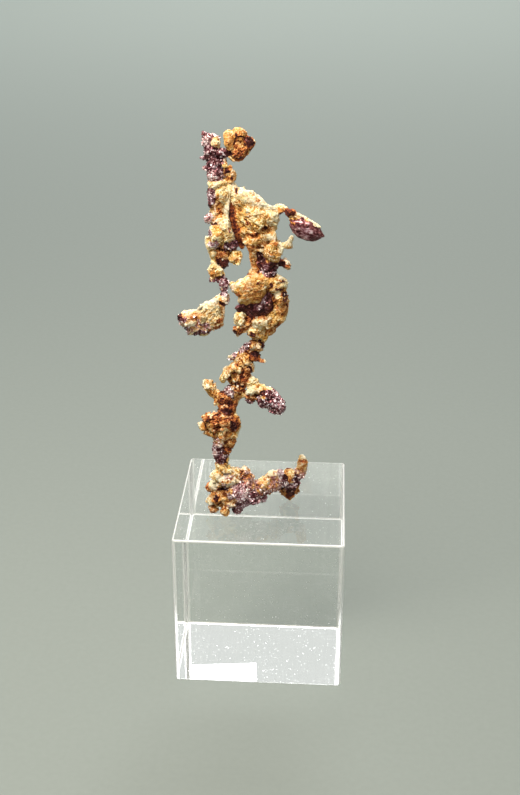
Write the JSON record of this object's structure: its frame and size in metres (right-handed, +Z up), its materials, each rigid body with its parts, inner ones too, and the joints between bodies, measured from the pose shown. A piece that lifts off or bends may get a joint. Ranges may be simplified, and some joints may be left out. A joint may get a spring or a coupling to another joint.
{
  "type": "native copper nugget",
  "caption": "Branching native copper nugget with ochre and purple crusts, standing on a clear cubic acrylic display block.",
  "frame": {"origin": "centre of the display block's underside, on the surface it stands on", "axes": "+Z up, the block's front face towards -Y, +X to the right seen from the front"},
  "size_m": [0.03, 0.03, 0.099],
  "materials": {
    "clear_acrylic": "clear, polished",
    "ochre_crust": "matt ochre crust on native copper",
    "cream_crust": "matt cream crust on native copper",
    "brown_crust": "matt red-brown crust on native copper",
    "purple_copper": "sparkling purple-brown crystalline copper"
  },
  "bodies": {
    "root": {"acrylic_block": "clear_acrylic", "foot_cluster": "brown_crust", "foot_arm": "purple_copper", "lower_stem": "brown_crust", "lower_lobe": "purple_copper", "middle_stem": "ochre_crust", "middle_mass": "ochre_crust", "torso": "ochre_crust", "right_blade": "purple_copper", "left_column": "cream_crust", "left_lobe": "cream_crust", "crown": "purple_copper"}
  },
  "joints": []
}
